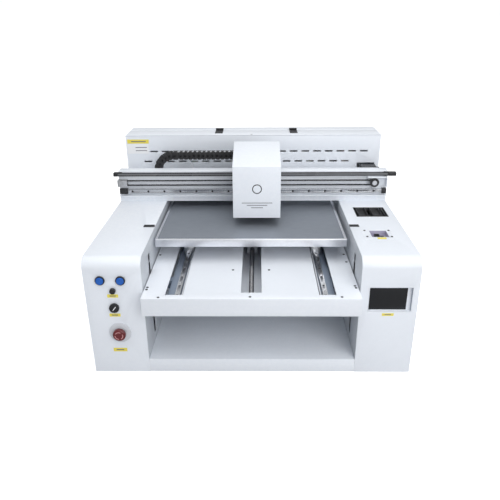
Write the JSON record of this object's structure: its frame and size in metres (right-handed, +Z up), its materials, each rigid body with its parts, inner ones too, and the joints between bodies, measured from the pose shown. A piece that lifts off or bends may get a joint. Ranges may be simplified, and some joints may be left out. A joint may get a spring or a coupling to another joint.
{
  "type": "flatbed uv printer",
  "caption": "White desktop flatbed UV printer with a sliding grey print table on a lifting bed between two side pods, and a print carriage on a gantry across the back.",
  "frame": {"origin": "centre of the body's underside, on the surface it stands on", "axes": "+X to the right seen from the front, +Y from the front to the back, +Z up"},
  "size_m": [1.041, 0.895, 0.628],
  "materials": {
    "white_paint": "semi-gloss powder coat",
    "zinc_steel": "zinc plated",
    "bright_steel": "ground",
    "anodised_aluminium": "satin anodised",
    "bed_grey": "matt hard anodised",
    "black_plastic": "fine texture",
    "black_rubber": "matt",
    "blue_plastic": "gloss",
    "red_plastic": "gloss",
    "screen_glass": "polished",
    "tank_plastic": "translucent"
  },
  "bodies": {
    "chassis": {"base_pan": "white_paint", "bay_floor": "white_paint", "left_inner_wall": "white_paint", "right_inner_wall": "white_paint", "left_pod_cover": "white_paint", "right_pod_cover": "white_paint", "rear_housing": "white_paint", "gantry_beam": "white_paint", "drive_end_plate": "white_paint", "chain_tray": "white_paint", "port_panel": "white_paint", "welded_frame": "zinc_steel", "lift_drive": "zinc_steel", "idler_bracket": "zinc_steel", "x_rail": "bright_steel", "encoder_strip": "black_plastic", "encoder_strip_holders": "black_plastic", "x_motor": "black_plastic", "chain_lower_run": "black_plastic", "lid_hinge_fixed_leaves": "black_plastic", "control_bodies": "black_plastic", "display_bezel": "black_plastic", "station_tray": "black_plastic", "power_inlet": "black_plastic", "electronics": "black_plastic", "x_belt": "black_rubber", "display_screen": "screen_glass", "ink_tanks": "tank_plastic"},
    "lid": {"rear_lid": "white_paint", "lid_hinge_moving_leaves": "black_plastic"},
    "drive_pulley": {"drive_pulley": "bright_steel"},
    "idler_pulley": {"idler_pulley": "bright_steel"},
    "carriage": {"carriage_cover": "white_paint", "carriage_plate": "zinc_steel", "print_heads": "black_plastic", "uv_lamp": "black_plastic", "x_rail_blocks": "bright_steel", "belt_clamp": "anodised_aluminium", "chain_bracket": "zinc_steel", "chain_upper_run": "black_plastic"},
    "chain_upper_end": {"chain_upper_end": "black_plastic"},
    "chain_bend": {"chain_bend": "black_plastic"},
    "bed": {"deck_tray": "white_paint", "deck_frame": "white_paint", "y_rails": "bright_steel", "y_motor": "black_plastic"},
    "y_screw": {"y_screw": "bright_steel"},
    "table": {"table_carrier": "zinc_steel", "table_frame": "anodised_aluminium", "table_top": "bed_grey", "y_rail_blocks": "bright_steel"},
    "lift_screw_left": {"lift_screw_left": "bright_steel"},
    "lift_screw_right": {"lift_screw_right": "bright_steel"},
    "blue_button_left": {"blue_button_left": "blue_plastic"},
    "blue_button_right": {"blue_button_right": "blue_plastic"},
    "speed_knob": {"speed_knob": "black_plastic"},
    "selector_knob": {"selector_knob": "black_plastic"},
    "estop_stem": {"estop_stem": "bright_steel"},
    "estop_head": {"estop_head": "red_plastic"},
    "cap_block": {"cap_block": "black_rubber"}
  },
  "joints": [
    {"name": "carriage_slide", "type": "slide", "parent": "chassis", "child": "carriage", "axis": [1, 0, 0], "range_m": [-0.3, 0.411]},
    {"name": "chain_end_slide", "type": "slide", "parent": "carriage", "child": "chain_upper_end", "axis": [1, 0, 0], "range_m": [-0.2056, 0.1501], "deforming": ["chain_upper_run"]},
    {"name": "chain_bend_slide", "type": "slide", "parent": "chassis", "child": "chain_bend", "axis": [1, 0, 0], "range_m": [-0.1501, 0.2056], "deforming": ["chain_lower_run"]},
    {"name": "drive_pulley_spin", "type": "hinge", "parent": "chassis", "child": "drive_pulley", "pos_m": [0.45, 0.093, 0.471], "axis": [0, 1, 0], "continuous": true},
    {"name": "idler_pulley_spin", "type": "hinge", "parent": "chassis", "child": "idler_pulley", "pos_m": [-0.485, 0.093, 0.471], "axis": [0, 1, 0], "continuous": true},
    {"name": "bed_lift", "type": "slide", "parent": "chassis", "child": "bed", "axis": [0, 0, 1], "range_m": [-0.15, 0.016]},
    {"name": "table_slide", "type": "slide", "parent": "bed", "child": "table", "axis": [0, 1, 0], "range_m": [-0.22, 0.2]},
    {"name": "y_screw_spin", "type": "hinge", "parent": "bed", "child": "y_screw", "pos_m": [0, -0.12, 0.279], "axis": [0, 1, 0], "continuous": true},
    {"name": "lift_screw_left_spin", "type": "hinge", "parent": "chassis", "child": "lift_screw_left", "pos_m": [-0.36, -0.292, 0.18], "axis": [0, 0, 1], "continuous": true},
    {"name": "lift_screw_right_spin", "type": "hinge", "parent": "chassis", "child": "lift_screw_right", "pos_m": [0.36, -0.292, 0.18], "axis": [0, 0, 1], "continuous": true},
    {"name": "lid_hinge", "type": "hinge", "parent": "chassis", "child": "lid", "pos_m": [0, 0.363, 0.6145], "axis": [-1, 0, 0], "range_deg": [0, 95]},
    {"name": "left_button_press", "type": "slide", "parent": "chassis", "child": "blue_button_left", "axis": [0, 1, 0], "range_m": [0, 0.003], "stiffness_N_per_m": 400, "springref_m": -0.002},
    {"name": "right_button_press", "type": "slide", "parent": "chassis", "child": "blue_button_right", "axis": [0, 1, 0], "range_m": [0, 0.003], "stiffness_N_per_m": 400, "springref_m": -0.002},
    {"name": "speed_knob_turn", "type": "hinge", "parent": "chassis", "child": "speed_knob", "pos_m": [-0.414, -0.42, 0.293], "axis": [0, 1, 0], "range_deg": [-135, 135]},
    {"name": "selector_turn", "type": "hinge", "parent": "chassis", "child": "selector_knob", "pos_m": [-0.415, -0.42, 0.235], "axis": [0, 1, 0], "range_deg": [-45, 45]},
    {"name": "estop_press", "type": "slide", "parent": "chassis", "child": "estop_stem", "axis": [0, 1, 0], "range_m": [0, 0.005]},
    {"name": "estop_twist", "type": "hinge", "parent": "estop_stem", "child": "estop_head", "pos_m": [-0.406, -0.42, 0.147], "axis": [0, 1, 0], "range_deg": [0, 30], "stiffness_Nm_per_rad": 0.05, "springref_deg": -2.86},
    {"name": "cap_press", "type": "slide", "parent": "chassis", "child": "cap_block", "axis": [0, 0, 1], "range_m": [-0.008, 0], "stiffness_N_per_m": 500, "springref_m": 0.006}
  ],
  "couplings": [
    {"joint": "chain_end_slide", "follows": "carriage_slide", "ratio": -0.5},
    {"joint": "chain_bend_slide", "follows": "carriage_slide", "ratio": 0.5},
    {"joint": "drive_pulley_spin", "follows": "carriage_slide", "rad_per_m": 111.11},
    {"joint": "idler_pulley_spin", "follows": "carriage_slide", "rad_per_m": 111.11},
    {"joint": "y_screw_spin", "follows": "table_slide", "rad_per_m": 314.16},
    {"joint": "lift_screw_left_spin", "follows": "bed_lift", "rad_per_m": 1256.6},
    {"joint": "lift_screw_right_spin", "follows": "bed_lift", "rad_per_m": 1256.6}
  ]
}
